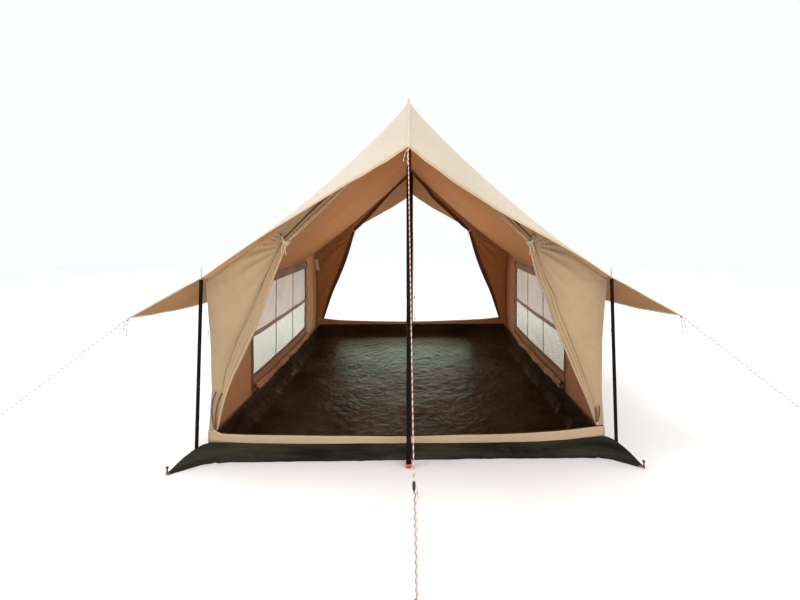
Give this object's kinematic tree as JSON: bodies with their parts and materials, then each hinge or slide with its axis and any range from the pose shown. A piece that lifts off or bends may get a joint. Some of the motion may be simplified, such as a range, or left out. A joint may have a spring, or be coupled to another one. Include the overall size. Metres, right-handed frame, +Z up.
{
  "type": "cabin tent",
  "caption": "Ridge tent with upright walls, hooded fly, tied-back gable doors, side windows and guy lines.",
  "frame": {"origin": "on the ground at the middle of the tent", "axes": "+X to the tent's right seen from the front, +Y from the front gable to the rear gable, +Z up"},
  "size_m": [6.02, 5.26, 2.455],
  "materials": {
    "canvas": "matt woven polycotton, sand coloured",
    "lining": "matt woven cloth in shade",
    "window_film": "clear film and fine mesh",
    "groundsheet": "coated woven sheet, soft gloss",
    "skirt": "coated cloth",
    "pole": "black powder coat, satin",
    "guy_line": "braided cord, red with white flecks",
    "peg": "dark steel"
  },
  "bodies": {
    "root": {"roof_left": "canvas", "roof_right": "canvas", "front_canopy": "canvas", "rear_canopy": "canvas", "left_wall": "canvas", "right_wall": "canvas", "front_left_door": "canvas", "front_right_door": "canvas", "rear_left_door": "canvas", "rear_right_door": "canvas", "front_sill": "canvas", "rear_sill": "canvas", "left_curtain": "lining", "right_curtain": "lining", "left_window": "window_film", "right_window": "window_film", "groundsheet": "groundsheet", "front_skirt": "skirt", "rear_skirt": "skirt", "left_skirt": "skirt", "right_skirt": "skirt", "front_pole": "pole", "rear_pole": "pole", "front_left_pole": "pole", "front_right_pole": "pole", "rear_left_pole": "pole", "rear_right_pole": "pole", "front_guy": "guy_line", "rear_guy": "guy_line", "front_left_guy": "guy_line", "front_right_guy": "guy_line", "rear_left_guy": "guy_line", "rear_right_guy": "guy_line", "front_peg": "peg", "rear_peg": "peg", "front_left_guy_peg": "peg", "front_right_guy_peg": "peg", "rear_left_guy_peg": "peg", "rear_right_guy_peg": "peg", "front_left_flap_peg": "peg", "front_right_flap_peg": "peg", "rear_left_flap_peg": "peg", "rear_right_flap_peg": "peg"}
  },
  "joints": []
}
